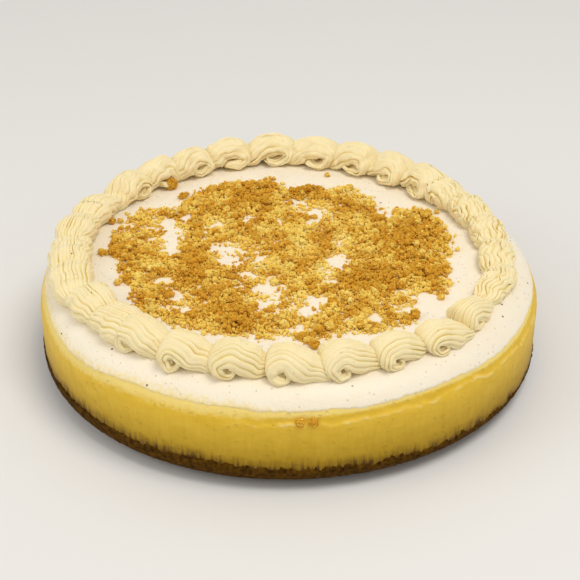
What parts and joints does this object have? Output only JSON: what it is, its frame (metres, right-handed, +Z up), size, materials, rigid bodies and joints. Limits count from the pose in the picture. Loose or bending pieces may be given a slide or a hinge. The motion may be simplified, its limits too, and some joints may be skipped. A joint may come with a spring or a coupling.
{
  "type": "baked cheesecake",
  "caption": "Whole round baked cheesecake with a thin crumb base, a golden baked filling, a spiced cream layer, a border of piped shell swirls and a crumb topping.",
  "frame": {"origin": "middle of the outline's box, on the flat underside of the crust", "axes": "+Z up through the cake, -Y towards the side that is shown, +X to its right"},
  "size_m": [0.2534, 0.2546, 0.0684],
  "materials": {
    "crumb_crust": "dark brown baked crumb, rough and dry",
    "baked_filling": "golden baked custard, smooth and moist with faint mottling",
    "spiced_cream": "off-white cream smoothed with a palette knife, flecked with spice",
    "piped_cream": "pale yellow piped cream with fine ridges from a star tip",
    "crumb_topping": "golden brown biscuit crumbs, dry, from fine grains to small lumps"
  },
  "bodies": {
    "root": {"crust_base": "crumb_crust", "baked_filling": "baked_filling", "cream_layer": "spiced_cream", "piped_swirl_01": "piped_cream", "piped_swirl_02": "piped_cream", "piped_swirl_03": "piped_cream", "piped_swirl_04": "piped_cream", "piped_swirl_05": "piped_cream", "piped_swirl_06": "piped_cream", "piped_swirl_07": "piped_cream", "piped_swirl_08": "piped_cream", "piped_swirl_09": "piped_cream", "piped_swirl_10": "piped_cream", "piped_swirl_11": "piped_cream", "piped_swirl_12": "piped_cream", "piped_swirl_13": "piped_cream", "piped_swirl_14": "piped_cream", "piped_swirl_15": "piped_cream", "piped_swirl_16": "piped_cream", "piped_swirl_17": "piped_cream", "piped_swirl_18": "piped_cream", "piped_swirl_19": "piped_cream", "piped_swirl_20": "piped_cream", "piped_swirl_21": "piped_cream", "piped_swirl_22": "piped_cream", "piped_swirl_23": "piped_cream", "piped_swirl_24": "piped_cream", "piped_swirl_25": "piped_cream", "piped_swirl_26": "piped_cream", "piped_swirl_27": "piped_cream", "piped_swirl_28": "piped_cream"}
  },
  "joints": []
}
